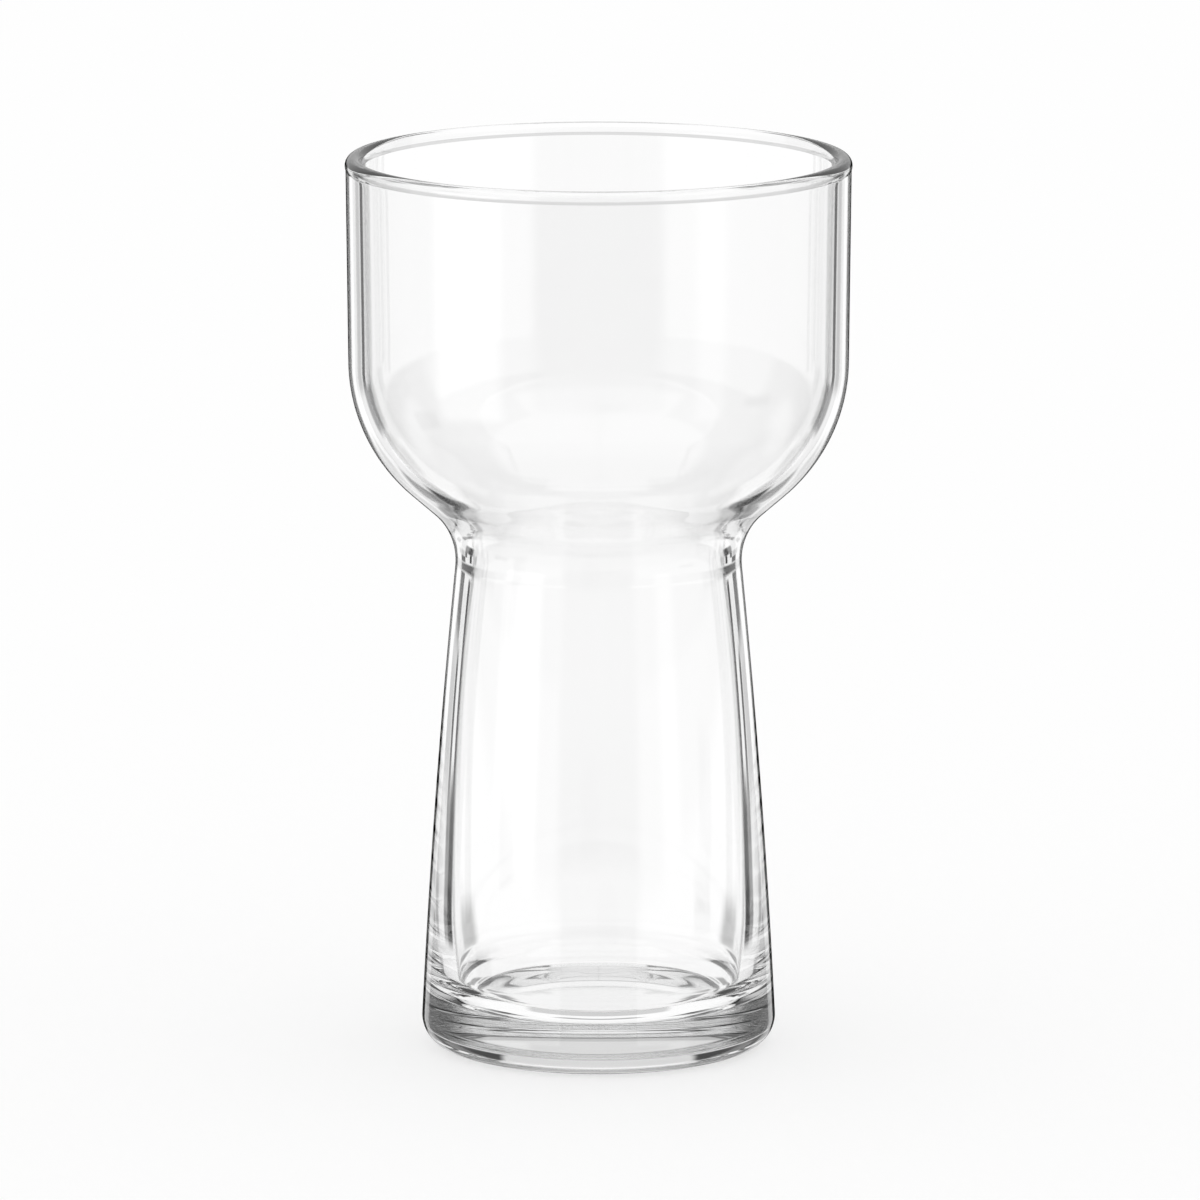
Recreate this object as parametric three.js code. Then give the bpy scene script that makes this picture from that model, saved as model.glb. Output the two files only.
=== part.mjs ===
// A drinking glass in one piece of clear glass: a wide bowl, a rounded shoulder, a drawn-in neck,
// and a hollow stem that flares to a thick base.
// Lengths are in millimetres, +Z is up, and the origin is the centre of the ring that it rests on.

import * as THREE from 'three';

const { degToRad } = THREE.MathUtils;

// Overall sizes
const glassHeight = 147;
const mouthRadius = 41.2;
const footRadius = 29;

// Outer form of the bowl: the wall leans out a little towards the rim, and the shoulder turns under it
const bowlDraft = degToRad(0.6);
const shoulderRadius = 28.3;
const shoulderSlope = degToRad(49);

// Outer form of the neck and the stem
const neckHeight = 80.5;
const neckRadius = 23.35;
const neckFillet = 11;
const footDraft = degToRad(2.9);

// Underside: a rounded heel, a flat ring to rest on, and a shallow hollow inside the ring
const heelRadius = 4.7;
const restRingWidth = 4.8;
const pushUpHeight = 0.4;

// Rim: melted round by fire into a bead that stands proud of the wall, with a hollow fillet under it
const rimBead = 0.13;
const beadFillet = 0.8;

// Glass thickness from the rim down
const rimWall = 2.6;
const shoulderWall = 2.7;
const neckWall = 2.95;
const heelWall = 3.7;
const baseThickness = 6.1;

// Inner form of the neck, the stem and the floor
const neckBoreFillet = 11;
const boreWidestHeight = 23;
const boreNarrowing = 0.35;
const floorCornerRadius = 6;
const floorDishRadius = 190;

// Facets: steps round the axis, and steps along each curve of the section
const turnSteps = 64;
const steps = {
  pushUp: 4, heel: 6, stem: 8, neck: 7, shoulder: 10, beadFillet: 2, bead: 10,
  narrowing: 2, corner: 6, floor: 4,
};

// A section is drawn in (radius, height), and a direction is its angle from outwards towards up
const outOf = (angle) => new THREE.Vector2(Math.cos(angle), Math.sin(angle));
const from = (point, distance, angle) => outOf(angle).multiplyScalar(distance).add(point);
const down = -Math.PI / 2;
const inwards = Math.PI;

// The points of an arc about a centre, both ends included
function arc(centre, radius, start, end, count) {
  const turn = (end - start) / count;
  return Array.from({ length: count + 1 }, (_, i) => from(centre, radius, start + i * turn));
}

// The long arc that leaves a point where the surface faces along pointFacing, and runs into a hollow
// fillet: the radius follows from two circles that touch. It is negative where the arc has to be
// hollow too, as on a stem that narrows downwards.
function sweepToFillet(point, pointFacing, filletCentre, filletRadius) {
  const reach = point.clone().sub(filletCentre);
  const facing = outOf(pointFacing);
  const radius = (reach.lengthSq() - filletRadius ** 2) / (2 * (filletRadius + facing.dot(reach)));
  const centre = from(point, -radius, pointFacing);
  const end = filletCentre.clone().sub(centre).multiplyScalar(Math.sign(radius));
  return { centre, radius, endFacing: Math.atan2(end.y, end.x) };
}

// The fillet under the bead on one side of the wall, 1 outside and -1 inside: its circle touches the
// wall's face and the bead's circle, whose centre lies in the middle of the wall
function underBead(beadCentre, wallFacing, side) {
  const across = rimWall / 2 + beadFillet;
  const turn = Math.acos(across / (across + rimBead));
  const besideBead = from(beadCentre, side * across, wallFacing);
  return { centre: from(besideBead, across * Math.tan(turn), wallFacing + down), turn };
}

// The radius of the turned surface that such an arc makes, at a height
function radiusAt({ centre, radius }, height) {
  const across = Math.sqrt(radius ** 2 - (height - centre.y) ** 2);
  return centre.x + Math.sign(radius) * across;
}

// The outside from the underside's middle to the rim's crown, and the arcs that the inside follows
function outerSection() {
  const heelCentre = new THREE.Vector2(footRadius - heelRadius, heelRadius);
  const ringInner = heelCentre.x - restRingWidth;
  const pushUpRadius = (ringInner ** 2 + pushUpHeight ** 2) / (2 * pushUpHeight);
  const pushUpCentre = new THREE.Vector2(0, pushUpHeight - pushUpRadius);
  const pushUpSpread = Math.asin(ringInner / pushUpRadius);

  const bead = { radius: rimWall / 2 + rimBead };
  bead.centre = new THREE.Vector2(mouthRadius - bead.radius, glassHeight - bead.radius);
  const wallTop = from(bead.centre, rimWall / 2, -bowlDraft);
  const hollow = underBead(bead.centre, -bowlDraft, 1);
  const wallSide = inwards - bowlDraft;

  // The shoulder and the neck share the step from neck to bowl, and both tighten where it is small
  const step = wallTop.x - (wallTop.y - neckHeight) * Math.tan(bowlDraft) - neckRadius;
  const wanted = (shoulderRadius + neckFillet) * (1 - Math.cos(shoulderSlope));
  const tighten = Math.min(1, step / wanted);
  const fillet = neckFillet * tighten;
  const shoulder = { radius: shoulderRadius * tighten };
  const neckCentre = new THREE.Vector2(neckRadius + fillet, neckHeight);

  // The shoulder's centre slides along the straight slope until its arc also touches the bowl's wall
  const nearest = from(neckCentre, fillet + shoulder.radius, inwards - shoulderSlope);
  const gap = outOf(-bowlDraft).dot(wallTop.clone().sub(nearest)) - shoulder.radius;
  const slopeLength = gap / Math.sin(shoulderSlope - bowlDraft);
  shoulder.centre = from(nearest, slopeLength, Math.PI / 2 - shoulderSlope);

  const stemFoot = from(heelCentre, heelRadius, footDraft);
  const stem = sweepToFillet(stemFoot, footDraft, neckCentre, fillet);

  const points = [
    ...arc(pushUpCentre, pushUpRadius, Math.PI / 2, Math.PI / 2 - pushUpSpread, steps.pushUp),
    ...arc(heelCentre, heelRadius, down, footDraft, steps.heel),
    ...arc(stem.centre, stem.radius, footDraft, stem.endFacing, steps.stem).slice(1),
    ...arc(neckCentre, fillet, inwards + stem.endFacing, inwards - shoulderSlope, steps.neck).slice(1),
    ...arc(shoulder.centre, shoulder.radius, -shoulderSlope, -bowlDraft, steps.shoulder),
    ...arc(hollow.centre, beadFillet, wallSide, wallSide - hollow.turn, steps.beadFillet),
    ...arc(bead.centre, bead.radius, -bowlDraft - hollow.turn, Math.PI / 2, steps.bead / 2).slice(1),
  ];
  return { points, shoulder, stem, bead };
}

// The inside from the rim's crown to the middle of the floor
function innerSection({ shoulder, stem, bead }) {
  // The inside of the shoulder shares its centre. The wall's face touches it, and passes the bead's
  // centre at half the wall.
  const radius = shoulder.radius - shoulderWall;
  const beadReach = bead.centre.clone().sub(shoulder.centre);
  const leanOfReach = Math.acos((radius + rimWall / 2) / beadReach.length());
  const wallFacing = Math.atan2(beadReach.y, beadReach.x) - leanOfReach;
  const hollow = underBead(bead.centre, wallFacing, -1);
  const wallSide = inwards + wallFacing;
  const slopeTop = from(shoulder.centre, radius, -shoulderSlope);

  // The neck's fillet stands between the slope and the narrowest bore
  const neckBore = neckRadius - neckWall;
  const room = (slopeTop.x - neckBore) / (1 - Math.cos(shoulderSlope));
  const fillet = Math.min(neckBoreFillet, room);
  const drop = (slopeTop.x - neckBore - fillet * (1 - Math.cos(shoulderSlope))) / Math.tan(shoulderSlope);
  const neckCentreHeight = slopeTop.y - drop - fillet * Math.sin(shoulderSlope);
  const neckCentre = new THREE.Vector2(neckBore + fillet, neckCentreHeight);

  // The bore widens down to its widest place, narrows slightly, and turns into the floor
  const widest = new THREE.Vector2(radiusAt(stem, boreWidestHeight) - heelWall, boreWidestHeight);
  const bore = sweepToFillet(widest, 0, neckCentre, fillet);

  const floorHeight = pushUpHeight + baseThickness;
  const dishCentre = new THREE.Vector2(0, floorHeight + floorDishRadius);
  const cornerX = widest.x - boreNarrowing - floorCornerRadius;
  const cornerDepth = Math.sqrt((floorDishRadius - floorCornerRadius) ** 2 - cornerX ** 2);
  const cornerCentre = new THREE.Vector2(cornerX, dishCentre.y - cornerDepth);
  const cornerEnd = cornerCentre.clone().sub(dishCentre);
  const floorFacing = Math.atan2(cornerEnd.y, cornerEnd.x);

  const across = widest.x - cornerX;
  const rise = boreWidestHeight - cornerCentre.y;
  const narrowRadius = (across ** 2 + rise ** 2 - floorCornerRadius ** 2) / (2 * boreNarrowing);
  const narrowCentre = new THREE.Vector2(widest.x - narrowRadius, boreWidestHeight);
  const cornerFacing = -Math.asin(rise / (narrowRadius - floorCornerRadius));

  return [
    ...arc(bead.centre, bead.radius, Math.PI / 2, wallSide + hollow.turn, steps.bead / 2).slice(1),
    ...arc(hollow.centre, beadFillet, wallFacing + hollow.turn, wallFacing, steps.beadFillet).slice(1),
    ...arc(shoulder.centre, radius, wallFacing, -shoulderSlope, steps.shoulder),
    ...arc(neckCentre, fillet, inwards - shoulderSlope, inwards + bore.endFacing, steps.neck),
    ...arc(bore.centre, bore.radius, bore.endFacing, 0, steps.stem).slice(1),
    ...arc(narrowCentre, narrowRadius, 0, cornerFacing, steps.narrowing).slice(1),
    ...arc(cornerCentre, floorCornerRadius, cornerFacing, floorFacing, steps.corner).slice(1),
    ...arc(dishCentre, floorDishRadius, floorFacing, down, steps.floor).slice(1),
  ];
}

// The two ends of a section lie on the axis exactly, so that the turned body closes
function turned(section) {
  section[0].x = 0;
  section[section.length - 1].x = 0;
  return new THREE.LatheGeometry(section, turnSteps).rotateX(Math.PI / 2);
}

function glassCup() {
  const outer = outerSection();
  const geometry = turned([...outer.points, ...innerSection(outer)]);
  const clearGlass = new THREE.MeshStandardMaterial({
    color: '#f3f5f5', roughness: 0.03, metalness: 0, transparent: true, opacity: 0.3,
  });
  const mesh = new THREE.Mesh(geometry, clearGlass);
  mesh.name = 'glass_cup';
  return mesh;
}

const glass = new THREE.Group();
glass.add(glassCup());

export default glass;
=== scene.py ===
# A clear drinking glass, photographed on a white sheet in soft light.
# Lengths are in metres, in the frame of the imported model: +Z is up along the axis of the glass.

import math

import bpy
import numpy as np
from mathutils import Matrix, Vector


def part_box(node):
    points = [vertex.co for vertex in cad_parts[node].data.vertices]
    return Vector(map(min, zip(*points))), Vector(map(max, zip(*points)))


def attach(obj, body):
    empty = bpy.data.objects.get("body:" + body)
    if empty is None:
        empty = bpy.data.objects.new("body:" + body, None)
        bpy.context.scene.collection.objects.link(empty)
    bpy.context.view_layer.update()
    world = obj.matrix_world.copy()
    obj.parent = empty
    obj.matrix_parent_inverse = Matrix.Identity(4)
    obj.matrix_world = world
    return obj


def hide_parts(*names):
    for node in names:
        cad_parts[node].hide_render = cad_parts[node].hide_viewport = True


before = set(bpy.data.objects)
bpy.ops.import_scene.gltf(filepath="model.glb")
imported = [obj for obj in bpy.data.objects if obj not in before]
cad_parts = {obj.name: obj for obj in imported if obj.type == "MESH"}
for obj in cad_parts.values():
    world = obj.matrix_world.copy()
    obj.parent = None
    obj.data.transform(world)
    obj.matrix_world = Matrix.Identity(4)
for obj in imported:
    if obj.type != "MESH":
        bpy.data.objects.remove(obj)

scene = bpy.context.scene
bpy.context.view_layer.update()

# The glass
# One continuous piece of soda-lime glass: a wide bowl on a rounded shoulder, a drawn-in neck, and
# a hollow stem that flares to a thick base. It is blown in a mould, its rim is cut and rounded by
# fire, and it stands freely on the ring round the shallow hollow in its underside.
MM = 0.001
glass_low, glass_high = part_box("glass_cup")
glass_height = glass_high[2] - glass_low[2]
mouth_radius = (glass_high[0] - glass_low[0]) / 2
foot_radius = 29 * MM

# The outside: a bowl that widens a little upwards, a shoulder that turns under it into a straight slope,
# a neck, a stem that flares down to a rounded heel, and the ring with its hollow
bowl_draft = math.radians(0.6)
shoulder_radius = 28.3 * MM
shoulder_slope = math.radians(49)
neck_height = 80.5 * MM
neck_radius = 23.35 * MM
neck_fillet = 11 * MM
foot_draft = math.radians(2.9)
heel_radius = 4.7 * MM
rest_ring_width = 4.8 * MM
push_up_height = 0.4 * MM

# The rim: a bead that stands proud of the wall on both sides, with a hollow fillet under it
rim_wall = 2.6 * MM
rim_bead = 0.13 * MM
bead_radius = rim_wall / 2 + rim_bead
bead_fillet = 0.8 * MM

# The thickness of the glass from the shoulder down, and the form of the bore and of its floor
shoulder_wall = 2.7 * MM
neck_wall = 2.95 * MM
heel_wall = 3.7 * MM
base_thickness = 6.1 * MM
neck_bore_fillet = 11 * MM
bore_widest_height = 23 * MM
bore_narrowing = 0.35 * MM
floor_corner_radius = 6 * MM
floor_dish_radius = 190 * MM

# How fine the mesh is: steps round the axis, and the longest steps along the section, which are shorter
# where it bends tightly
turn_steps = 192
section_step = 0.9 * MM
narrowing_step = 0.5 * MM
corner_step = 0.4 * MM
rim_step = 0.15 * MM
bend_step = math.radians(4)

# A facing is the angle of a direction in the section, from outwards towards up
down = -math.pi / 2
inwards = math.pi


def out_of(angle):
    """The unit vector of a facing, in (radius, height): its cosine and its sine."""
    return np.array([math.cos(angle), math.sin(angle)])


def arc(centre, radius, start, end, step=section_step):
    """Points on a circle from one facing to another, near enough for their spacing and their turn."""
    turn = abs(end - start)
    count = max(2, math.ceil(turn * abs(radius) / step), math.ceil(turn / bend_step))
    angles = np.linspace(start, end, count + 1)
    return centre + radius * np.stack([np.cos(angles), np.sin(angles)], axis=1)


def straight(first, last):
    """Points evenly spaced from one place to another, without the two ends."""
    count = max(1, math.ceil(np.linalg.norm(last - first) / section_step))
    share = np.linspace(0, 1, count + 1)[1:-1, None]
    return first + share * (last - first)


def sweep_to_fillet(point, facing, fillet_centre, fillet_radius):
    """The long arc from a point, with its facing there, that touches a hollow fillet: two circles
    touch where the distance of their centres is the sum of their radii."""
    reach = point - fillet_centre
    radius = (reach @ reach - fillet_radius**2) / (2 * (fillet_radius + out_of(facing) @ reach))
    centre = point - radius * out_of(facing)
    end = (fillet_centre - centre) * np.sign(radius)
    return centre, radius, math.atan2(end[1], end[0])


def under_bead(bead_centre, wall_facing, side):
    """The fillet under the bead, 1 outside and -1 inside: its circle touches the wall's face and the
    bead's circle, whose centre lies in the middle of the wall."""
    across = rim_wall / 2 + bead_fillet
    turn = math.acos(across / (across + rim_bead))
    beside = bead_centre + side * across * out_of(wall_facing)
    return beside + across * math.tan(turn) * out_of(wall_facing + down), turn


def outer_section():
    """The outside from the underside's middle to the rim's crown: arcs and straight lines that touch,
    each starting with the facing that the one before ends with. The arcs that the inside follows are
    given back with it."""
    # The hollow's arc has its crown on the axis and ends at the ring's inner edge
    heel_centre = np.array([foot_radius - heel_radius, heel_radius])
    ring_inner = heel_centre[0] - rest_ring_width
    push_up_radius = (ring_inner**2 + push_up_height**2) / (2 * push_up_height)
    push_up_centre = np.array([0, push_up_height - push_up_radius])
    push_up_end = math.pi / 2 - math.asin(ring_inner / push_up_radius)

    bead_centre = np.array([mouth_radius - bead_radius, glass_height - bead_radius])
    wall_top = bead_centre + rim_wall / 2 * out_of(-bowl_draft)
    hollow_centre, bead_turn = under_bead(bead_centre, -bowl_draft, 1)
    wall_side = inwards - bowl_draft

    # The shoulder's centre slides along the straight slope until its arc also touches the bowl's wall
    neck_centre = np.array([neck_radius + neck_fillet, neck_height])
    nearest = neck_centre + (neck_fillet + shoulder_radius) * out_of(inwards - shoulder_slope)
    gap = out_of(-bowl_draft) @ (wall_top - nearest) - shoulder_radius
    slope_length = gap / math.sin(shoulder_slope - bowl_draft)
    shoulder_centre = nearest + slope_length * out_of(math.pi / 2 - shoulder_slope)

    stem_foot = heel_centre + heel_radius * out_of(foot_draft)
    stem_centre, stem_radius, stem_end = sweep_to_fillet(stem_foot, foot_draft, neck_centre, neck_fillet)

    push_up = arc(push_up_centre, push_up_radius, math.pi / 2, push_up_end)
    heel = arc(heel_centre, heel_radius, down, foot_draft, step=corner_step)
    side = arc(stem_centre, stem_radius, foot_draft, stem_end)
    neck = arc(neck_centre, neck_fillet, inwards + stem_end, inwards - shoulder_slope)
    shoulder = arc(shoulder_centre, shoulder_radius, -shoulder_slope, -bowl_draft)
    hollow = arc(hollow_centre, bead_fillet, wall_side, wall_side - bead_turn, step=rim_step)
    bead = arc(bead_centre, bead_radius, -bowl_draft - bead_turn, math.pi / 2, step=rim_step)
    points = np.concatenate([
        push_up, straight(push_up[-1], heel[0]), heel, side[1:], neck[1:],
        straight(neck[-1], shoulder[0]), shoulder, straight(shoulder[-1], hollow[0]), hollow, bead[1:],
    ])
    return points, shoulder_centre, (stem_centre, stem_radius), bead_centre


def inner_section(shoulder_centre, stem, bead_centre):
    """The inside from the rim's crown down to the middle of the floor: a second chain of touching
    arcs and lines, set off from the first by the thickness of the glass at each height."""
    # The inside of the shoulder shares its centre. The wall's face touches it, and passes the bead's
    # centre at half the wall.
    radius = shoulder_radius - shoulder_wall
    reach = bead_centre - shoulder_centre
    lean_of_reach = math.acos((radius + rim_wall / 2) / np.linalg.norm(reach))
    wall_facing = math.atan2(reach[1], reach[0]) - lean_of_reach
    hollow_centre, bead_turn = under_bead(bead_centre, wall_facing, -1)
    slope_top = shoulder_centre + radius * out_of(-shoulder_slope)

    # The straight slope runs down to the neck's fillet, whose narrowest place is the neck's bore
    neck_bore = neck_radius - neck_wall
    run = slope_top[0] - neck_bore - neck_bore_fillet * (1 - math.cos(shoulder_slope))
    neck_centre = np.array([
        neck_bore + neck_bore_fillet,
        slope_top[1] - run / math.tan(shoulder_slope) - neck_bore_fillet * math.sin(shoulder_slope),
    ])

    # The bore's widest place lies by the heel's wall in from the stem's outside, and a long arc runs up
    # from there to the neck's fillet
    stem_centre, stem_radius = stem
    across = math.sqrt(stem_radius**2 - (bore_widest_height - stem_centre[1]) ** 2)
    outer_radius = stem_centre[0] + math.copysign(across, stem_radius)
    widest = np.array([outer_radius - heel_wall, bore_widest_height])
    bore_centre, bore_radius, bore_end = sweep_to_fillet(widest, 0, neck_centre, neck_bore_fillet)

    # The floor's corner touches its dished middle, and the arc by which the bore narrows down to it
    dish_centre = np.array([0, push_up_height + base_thickness + floor_dish_radius])
    corner_x = widest[0] - bore_narrowing - floor_corner_radius
    corner_depth = math.sqrt((floor_dish_radius - floor_corner_radius) ** 2 - corner_x**2)
    corner_centre = np.array([corner_x, dish_centre[1] - corner_depth])
    floor_reach = corner_centre - dish_centre
    floor_facing = math.atan2(floor_reach[1], floor_reach[0])

    rise = bore_widest_height - corner_centre[1]
    spread = (widest[0] - corner_x) ** 2 + rise**2 - floor_corner_radius**2
    narrow_radius = spread / (2 * bore_narrowing)
    narrow_centre = np.array([widest[0] - narrow_radius, bore_widest_height])
    corner_facing = -math.asin(rise / (narrow_radius - floor_corner_radius))

    bead = arc(bead_centre, bead_radius, math.pi / 2, inwards + wall_facing + bead_turn, step=rim_step)
    hollow = arc(hollow_centre, bead_fillet, wall_facing + bead_turn, wall_facing, step=rim_step)
    shoulder = arc(shoulder_centre, radius, wall_facing, -shoulder_slope)
    neck = arc(neck_centre, neck_bore_fillet, inwards - shoulder_slope, inwards + bore_end)
    side = arc(bore_centre, bore_radius, bore_end, 0)
    narrowing = arc(narrow_centre, narrow_radius, 0, corner_facing, step=narrowing_step)
    corner = arc(corner_centre, floor_corner_radius, corner_facing, floor_facing, step=corner_step)
    dish = arc(dish_centre, floor_dish_radius, floor_facing, down)
    return np.concatenate([
        bead[1:], hollow[1:], straight(hollow[-1], shoulder[0]), shoulder,
        straight(shoulder[-1], neck[0]), neck,
        side[1:], narrowing[1:], corner[1:], dish[1:],
    ])


def turned(name, section, steps):
    """A closed body of revolution: point (radius, height) of the section at turn t lies at
    (radius cos t, radius sin t, height), and its first and last points are single poles."""
    ring = section[1:-1]
    angles = np.linspace(0, 2 * math.pi, steps, endpoint=False)
    across = ring[:, 0, None]
    height = np.broadcast_to(ring[:, 1, None], (len(ring), steps))
    grid = np.stack([across * np.cos(angles), across * np.sin(angles), height], axis=2).reshape(-1, 3)
    poles = np.array([[0, 0, section[0, 1]], [0, 0, section[-1, 1]]])
    vertices = np.concatenate([grid, poles])

    row = np.arange(len(ring) - 1)[:, None] * steps
    above = row + steps
    here = np.arange(steps)
    after = (here + 1) % steps
    quads = np.stack([row + here, row + after, above + after, above + here], axis=2).reshape(-1, 4)
    last = (len(ring) - 1) * steps
    first_pole = np.full(steps, len(grid))
    start_cap = np.stack([first_pole, after, here], axis=1)
    end_cap = np.stack([first_pole + 1, last + here, last + after], axis=1)

    mesh = bpy.data.meshes.new(name)
    mesh.from_pydata(vertices.tolist(), [], quads.tolist() + start_cap.tolist() + end_cap.tolist())
    mesh.shade_smooth()
    return mesh


outside, shoulder_middle, stem_arc, bead_middle = outer_section()
inside = inner_section(shoulder_middle, stem_arc, bead_middle)
glass_mesh = turned("drinking_glass", np.concatenate([outside, inside]), turn_steps)
glass = bpy.data.objects.new("drinking_glass", glass_mesh)
scene.collection.objects.link(glass)


def linear(colour):
    """The three linear shares of light for an sRGB hex colour such as '#c0ffee'."""
    shares = [int(colour[i:i + 2], 16) / 255 for i in (1, 3, 5)]
    return [s / 12.92 if s <= 0.04045 else ((s + 0.055) / 1.055) ** 2.4 for s in shares]


def add(tree, kind, links=None, **settings):
    """A node of this kind with its settings, and its inputs set to a value or linked to a socket."""
    node = tree.nodes.new(kind)
    for name, value in settings.items():
        setattr(node, name, value)
    for name, value in (links or {}).items():
        if isinstance(value, bpy.types.NodeSocket):
            tree.links.new(value, node.inputs[name])
        else:
            node.inputs[name].default_value = value
    return node


# Fire-polished soda-lime glass: clear and colourless, with a skin so smooth that nothing blurs. The
# mould and the tools leave it faintly uneven, which bends what is seen through it by a hair, and its
# thick base swallows a little light. Where the surface turns away from sight, its colour is darkened to
# grey: painted shade that draws a fine dark line round the glass. The painted line starts and is full
# at two slants, on a scale from 0 where the surface is seen head-on to 1 where it is edge-on.
polish_roughness = 0.0
glass_ior = 1.52
body_clear = "#fefefe"
# The grey is painted shade, for the dark line round the glass
painted_edge_shade = "#8c8c8c"
painted_edge_start = 0.795
painted_edge_full = 0.84
waviness_size = 9 * MM
waviness_height = 0.0004 * MM
swallowed_per_metre = 1.0
swallowed_colour = "#d9dad9"

# The Mix node's colour sockets, which go by their place because its other sockets share their names
first_colour = 6
second_colour = 7
mixed_colour = 2

clear_glass = bpy.data.materials.new("fire_polished_soda_lime_glass")
clear_glass.use_nodes = True
glass_tree = clear_glass.node_tree
glass_tree.nodes.clear()
# Painted shade: the colour turns from clear to grey as the surface turns edge-on, which draws the dark line
# round the glass
facing = add(glass_tree, "ShaderNodeLayerWeight", {"Blend": 0.5}).outputs["Facing"]
painted_edge_share = add(glass_tree, "ShaderNodeMapRange", {
    "Value": facing, "From Min": painted_edge_start, "From Max": painted_edge_full,
}, interpolation_type="SMOOTHSTEP")
body = add(glass_tree, "ShaderNodeMix", {
    "Factor": painted_edge_share.outputs[0],
    first_colour: (*linear(body_clear), 1),
    second_colour: (*linear(painted_edge_shade), 1),
}, data_type="RGBA")
place = add(glass_tree, "ShaderNodeTexCoord").outputs["Object"]
waviness = add(glass_tree, "ShaderNodeTexNoise", {
    "Vector": place, "Scale": 1 / waviness_size, "Detail": 1.0, "Roughness": 0.4,
})
skin = add(glass_tree, "ShaderNodeBump", {
    "Height": waviness.outputs["Fac"], "Strength": 1.0, "Distance": waviness_height,
})
glass_surface = add(glass_tree, "ShaderNodeBsdfPrincipled", {
    "Base Color": body.outputs[mixed_colour],
    "Roughness": polish_roughness,
    "IOR": glass_ior,
    "Transmission Weight": 1.0,
    "Normal": skin.outputs["Normal"],
})
glass_depth = add(glass_tree, "ShaderNodeVolumeAbsorption", {
    "Color": (*linear(swallowed_colour), 1), "Density": swallowed_per_metre,
})
add(glass_tree, "ShaderNodeOutputMaterial", {
    "Surface": glass_surface.outputs["BSDF"], "Volume": glass_depth.outputs["Volume"],
})
glass_mesh.materials.append(clear_glass)

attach(glass, "root")
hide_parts("glass_cup")

# The sheet that the glass stands on
# A sheet of paper, cut round, that lies flat and is far wider than the picture. The glass neither bends
# nor mirrors it: the world's light stands for it there.
sheet_radius = 4.0
sheet_sides = 64
sheet_mesh = bpy.data.meshes.new("white_sheet")
turns = np.linspace(0, 2 * math.pi, sheet_sides, endpoint=False)
edge = np.stack([sheet_radius * np.cos(turns), sheet_radius * np.sin(turns), 0 * turns], axis=1)
sheet_mesh.from_pydata(edge.tolist(), [], [list(range(sheet_sides))])
sheet = bpy.data.objects.new("white_sheet", sheet_mesh)
scene.collection.objects.link(sheet)

# Matt white paper: uncoated, so it has no gloss. Looked at straight from the camera, more than half of
# it is plain white that takes no shade, which keeps the shadow of the glass as pale as in soft light.
paper_white = 0.99
shadeless_share = 0.6
matt_paper = bpy.data.materials.new("matt_white_paper")
matt_paper.use_nodes = True
paper_tree = matt_paper.node_tree
paper_tree.nodes.clear()
paper_surface = add(paper_tree, "ShaderNodeBsdfDiffuse", {"Color": (paper_white,) * 3 + (1,)})
paper_glow = add(paper_tree, "ShaderNodeEmission", {"Color": (1, 1, 1, 1), "Strength": 1.0})
paper_ray = add(paper_tree, "ShaderNodeLightPath")
glow_share = add(paper_tree, "ShaderNodeMath", {
    0: paper_ray.outputs["Is Camera Ray"], 1: shadeless_share,
}, operation="MULTIPLY")
paper_mix = add(paper_tree, "ShaderNodeMixShader", {
    0: glow_share.outputs[0], 1: paper_surface.outputs["BSDF"], 2: paper_glow.outputs["Emission"],
})
add(paper_tree, "ShaderNodeOutputMaterial", {"Surface": paper_mix.outputs["Shader"]})
sheet_mesh.materials.append(matt_paper)
sheet.visible_transmission = False
sheet.visible_glossy = False

# The light
# A white studio, made of plain cards round the glass. Light that comes through the glass and light that
# it mirrors have a set of cards each. The sheet takes plain white light, so no card shades it.
studio = bpy.data.worlds.new("white_studio")
scene.world = studio
studio.use_nodes = True
light_tree = studio.node_tree
light_tree.nodes.clear()

# A ray aimed at the light would be stopped by the glass, so each finds the light by its own path
studio.cycles.sampling_method = "NONE"

direction = add(light_tree, "ShaderNodeTexCoord").outputs["Generated"]
axes = add(light_tree, "ShaderNodeSeparateXYZ", {0: direction})
elevation = add(light_tree, "ShaderNodeMath", {0: axes.outputs["Z"]}, operation="ARCSINE").outputs[0]


def off_behind(turn):
    """The angle, seen from above, between a direction and the one straight behind the glass, for a
    viewer who has walked round it by a turn: first signed, then without its sign."""
    turned_back = add(light_tree, "ShaderNodeVectorRotate", {
        "Vector": direction, "Angle": math.radians(-turn),
    }, rotation_type="Z_AXIS")
    split = add(light_tree, "ShaderNodeSeparateXYZ", {0: turned_back.outputs[0]})
    signed_angle = add(light_tree, "ShaderNodeMath", {
        0: split.outputs["X"], 1: split.outputs["Y"],
    }, operation="ARCTAN2").outputs[0]
    angle_aside = add(light_tree, "ShaderNodeMath", {0: signed_angle}, operation="ABSOLUTE").outputs[0]
    return signed_angle, angle_aside


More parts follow.
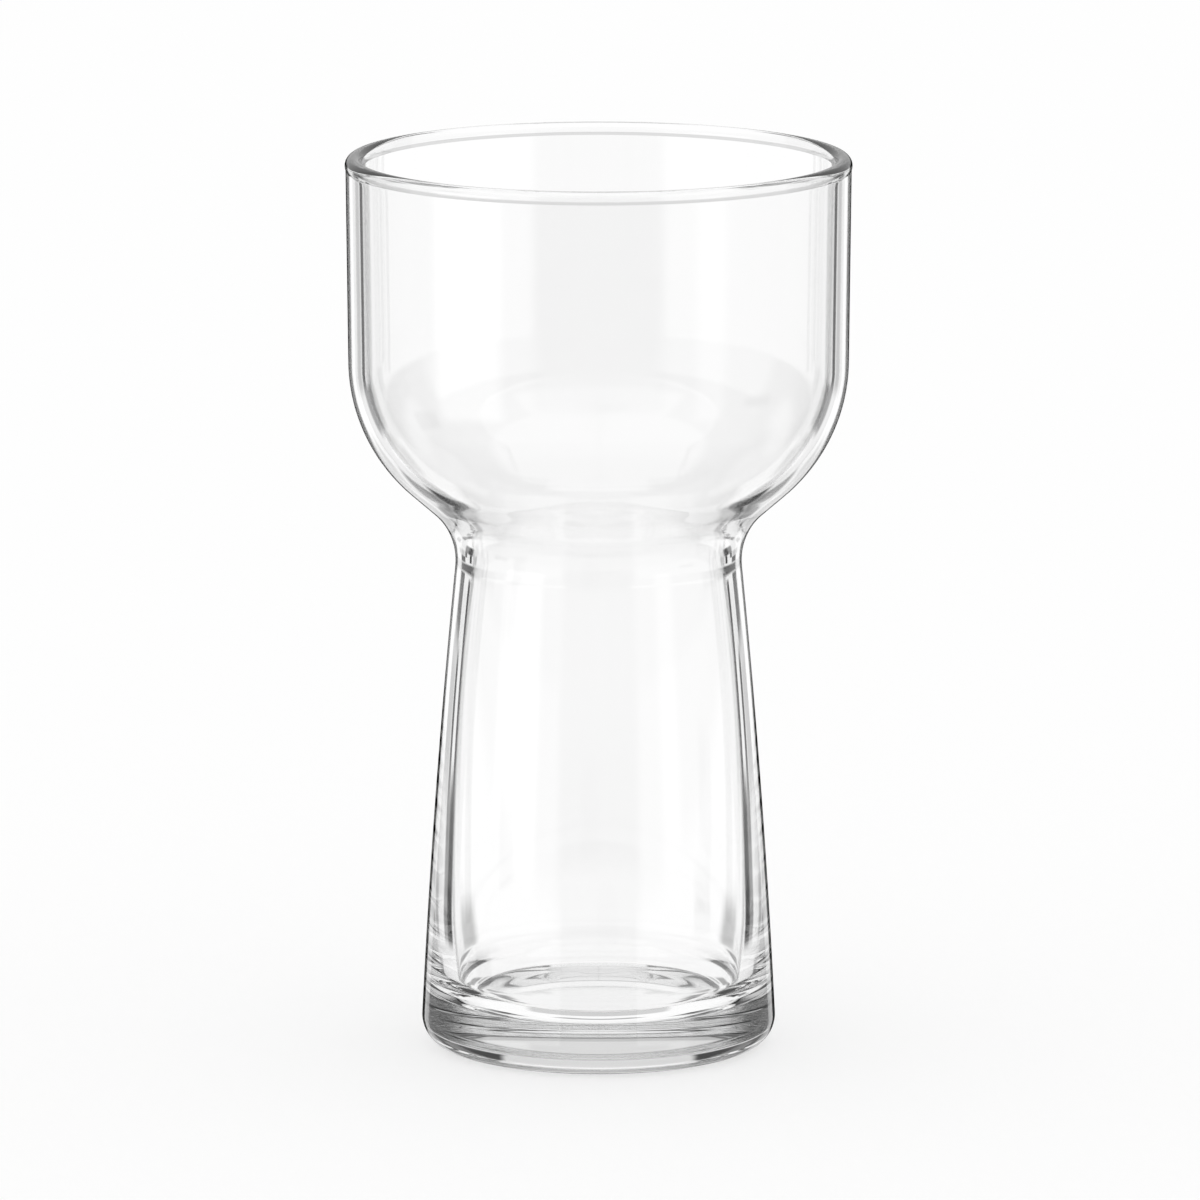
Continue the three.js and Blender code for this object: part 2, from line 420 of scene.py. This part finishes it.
def card(behind, brightness, angle, middle, half, height, half_height, soft):
    """The surroundings with one card hung in front of them. It covers the directions whose angle is
    within half of the middle, and whose elevation is within half_height of the height, all in degrees.
    Its edge is soft over that many degrees."""
    cover = 1.0
    for measured, centre, reach in ((angle, middle, half), (elevation, height, half_height)):
        off_centre = add(light_tree, "ShaderNodeMath", {
            0: measured, 1: math.radians(centre),
        }, operation="SUBTRACT")
        away = add(light_tree, "ShaderNodeMath", {0: off_centre.outputs[0]}, operation="ABSOLUTE")
        within = add(light_tree, "ShaderNodeMapRange", {
            "Value": away.outputs[0], "To Min": 1.0, "To Max": 0.0,
            "From Min": math.radians(reach - soft / 2), "From Max": math.radians(reach + soft / 2),
        }, interpolation_type="SMOOTHSTEP")
        cover = add(light_tree, "ShaderNodeMath", {
            0: cover, 1: within.outputs[0],
        }, operation="MULTIPLY").outputs[0]
    return add(light_tree, "ShaderNodeMix", {
        "Factor": cover, "A": behind, "B": brightness,
    }, data_type="FLOAT").outputs[0]


signed, aside = off_behind(0)
signed_from_right, _ = off_behind(45)
_, aside_from_back = off_behind(225)

# What comes through the glass. It starts as white paper below the horizon and a dark room above it,
# with a lit strip behind the glass, a grey front, a soft box overhead, pale sides, and a higher strip
# behind and soft box in front.
lit_paper = 1.02
through = card(lit_paper, 0.06, aside, middle=0, half=180, height=46.5, half_height=46, soft=3)
through = card(through, 0.75, aside, middle=0, half=24, height=8, half_height=8.5, soft=3)
through = card(through, 0.75, aside, middle=0, half=60, height=20, half_height=7, soft=8)
through = card(through, 0.35, aside, middle=180, half=32, height=12, half_height=32, soft=8)
through = card(through, 0.9, aside, middle=0, half=180, height=90, half_height=36, soft=3)
through = card(through, 0.6, aside, middle=115, half=35, height=12, half_height=12, soft=3)
through = card(through, 0.55, aside, middle=0, half=40, height=32, half_height=6.5, soft=4)
through = card(through, 1.0, aside, middle=180, half=50, height=46, half_height=10, soft=6)

# Below the glass the paper falls off to grey in front, and behind it a stripe darkens the rim's lines
through = card(through, 0.65, aside, middle=180, half=95, height=-75, half_height=23, soft=10)
through = card(through, 0.4, aside, middle=0, half=30, height=-66, half_height=4, soft=4)

# Three dark cards low behind the glass, which the neck draws together to the marks at its two sides
through = card(through, 0.25, aside, middle=18.5, half=5.5, height=-29.5, half_height=4, soft=3)
through = card(through, 0.45, aside, middle=16, half=4, height=-20, half_height=2.5, soft=3)
through = card(through, 0.05, aside, middle=23, half=5.5, height=-38.5, half_height=5, soft=3)

# Cards at both sides behind the glass, where its walls bend the view: a grey one for the wall's
# thickness, thin black ones for its inner line on the bowl and under it, and wider ones for the stem
through = card(through, 0.62, aside, middle=26, half=5.5, height=-9.8, half_height=3, soft=3)
through = card(through, 0.02, aside, middle=34.6, half=1.9, height=-10, half_height=3.5, soft=1.5)
through = card(through, 0.02, aside, middle=43.5, half=1.8, height=-8, half_height=6, soft=1.5)
through = card(through, 0.3, aside, middle=39.5, half=7, height=-17, half_height=5, soft=3)
through = card(through, 0.02, aside, middle=42.5, half=3.5, height=-17, half_height=5, soft=3)
through = card(through, 0.05, aside, middle=28.5, half=4.5, height=-3.5, half_height=3, soft=2)

# The same for viewers at the right and at the back, where each looks through the walls. The first has
# a card on one side only, because its other one would stand in the way of the view from the front.
through = card(through, 0.02, signed_from_right, middle=-38.25, half=7.75, height=-25, half_height=4, soft=3)
through = card(through, 0.02, aside_from_back, middle=38.25, half=7.75, height=-15.5, half_height=2.5, soft=3)

# What the glass mirrors. It starts as a dim room, with a pale wall at each side behind the glass, pale
# paper behind it, a soft box at the front left and a smaller one at the front right, and a broad soft
# light overhead.
dim_room = 0.35
mirrored = card(dim_room, 1.15, aside, middle=26, half=6.5, height=-7, half_height=14, soft=3)
mirrored = card(mirrored, 1.0, aside, middle=0, half=32, height=-22.5, half_height=5.5, soft=3)
mirrored = card(mirrored, 1.9, signed, middle=-117, half=17, height=-6, half_height=18, soft=8)
mirrored = card(mirrored, 1.2, signed, middle=127, half=7, height=-6, half_height=18, soft=8)
mirrored = card(mirrored, 1.0, aside, middle=0, half=180, height=90, half_height=60, soft=60)

# A black card and a pale one behind the glass for its outline, dark below for the heel, a pale card for
# the edge of the shoulder, and a low pale band at the sides for the stem and the base
mirrored = card(mirrored, 0.0, aside, middle=0, half=20, height=-9, half_height=8, soft=2.5)
mirrored = card(mirrored, 0.7, aside, middle=0, half=60, height=20, half_height=19, soft=4)
mirrored = card(mirrored, 0.05, aside, middle=0, half=180, height=-54, half_height=16, soft=6)
mirrored = card(mirrored, 1.2, aside, middle=50, half=10, height=-39, half_height=11, soft=4)
mirrored = card(mirrored, 1.1, aside, middle=112, half=43, height=-6.2, half_height=1.6, soft=1.2)

# A ray that has left the paper gets plain white. Of the others, one that passed the glass last gets the
# first set, one that was mirrored last the second set, and one straight from the camera plain white.
# The first set is laid over the second, because a ray that passes clear glass counts as mirrored too.
ray = add(light_tree, "ShaderNodeLightPath")
after_paper = add(light_tree, "ShaderNodeMath", {
    0: ray.outputs["Diffuse Depth"], 1: 0.5,
}, operation="GREATER_THAN")
level = add(light_tree, "ShaderNodeMix", {
    "Factor": ray.outputs["Is Glossy Ray"], "A": paper_white, "B": mirrored,
}, data_type="FLOAT").outputs[0]
level = add(light_tree, "ShaderNodeMix", {
    "Factor": ray.outputs["Is Transmission Ray"], "A": level, "B": through,
}, data_type="FLOAT").outputs[0]
level = add(light_tree, "ShaderNodeMix", {
    "Factor": after_paper.outputs[0], "A": level, "B": paper_white,
}, data_type="FLOAT").outputs[0]
sky = add(light_tree, "ShaderNodeBackground", {"Color": level, "Strength": 1.0})
add(light_tree, "ShaderNodeOutputWorld", {"Surface": sky.outputs[0]})

# The camera
# It stands to the front, a little above the rim, and looks down at the middle of the glass.
sensor_width = 36.0
camera_distance = 1.851
camera_elevation = math.radians(10.45)
target_height = 73.75 * MM
axis_column = 598.6
picture_width = 1200
focal_pixels = 11330

camera_data = bpy.data.cameras.new("camera")
camera = bpy.data.objects.new("camera", camera_data)
scene.collection.objects.link(camera)
camera_data.sensor_width = sensor_width
camera_data.lens = focal_pixels / picture_width * sensor_width
camera_data.shift_x = (picture_width / 2 - axis_column) / picture_width
back = Vector((0, -math.cos(camera_elevation), math.sin(camera_elevation)))
camera.matrix_world = (
    Matrix.Translation(Vector((0, 0, target_height)) + camera_distance * back)
    @ (-back).to_track_quat("-Z", "Y").to_matrix().to_4x4()
)
scene.camera = camera
scene.view_settings.view_transform = "Standard"

# Light is caught between the two faces of the glass, and meets them many times before it leaves
bounces = 32
scene.cycles.max_bounces = bounces
scene.cycles.glossy_bounces = bounces
scene.cycles.transmission_bounces = bounces
